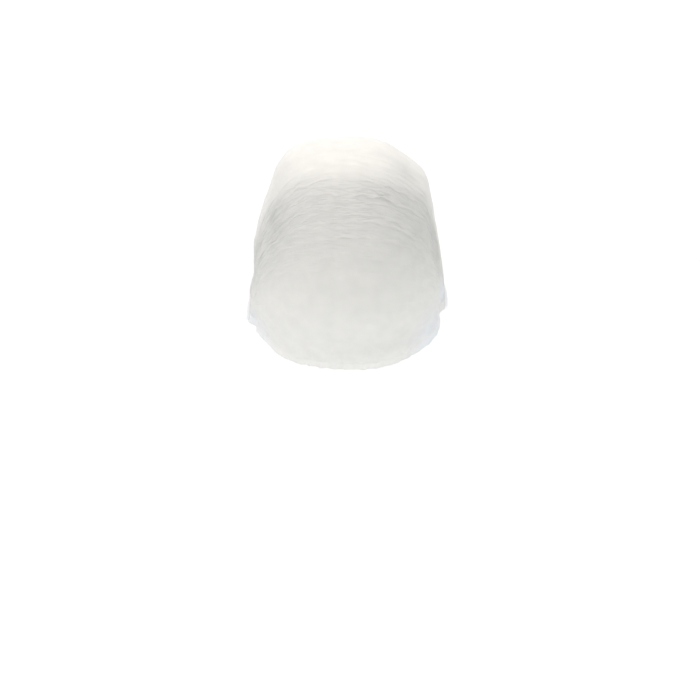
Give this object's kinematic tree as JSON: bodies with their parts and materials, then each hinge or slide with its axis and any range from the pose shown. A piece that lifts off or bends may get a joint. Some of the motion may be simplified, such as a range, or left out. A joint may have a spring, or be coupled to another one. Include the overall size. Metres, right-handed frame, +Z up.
{
  "type": "clip cap, a pleated disposable hair cover",
  "caption": "White pleated nonwoven hair cap in its worn shape, with gathered elastic hems over forehead and nape and a pressed weld beside each ear, open below for the head.",
  "frame": {"origin": "point inside the top of the crown where the cap sits on the head", "axes": "+Z up, +Y towards the back of the head, +X towards the wearer's left ear"},
  "size_m": [0.1772, 0.2149, 0.1984],
  "materials": {
    "nonwoven": "thin white spunbonded cloth, slightly see-through, matt with faint fibres and shallow creases",
    "hem": "folded white cloth gathered on a thin elastic, brighter than the single layer",
    "weld": "pleats pressed together by heat, denser and slightly glossier than the cloth"
  },
  "bodies": {
    "root": {"crown_sheet": "nonwoven", "forehead_hem": "hem", "nape_hem": "hem", "end_weld_left": "weld", "end_weld_right": "weld"}
  },
  "joints": []
}
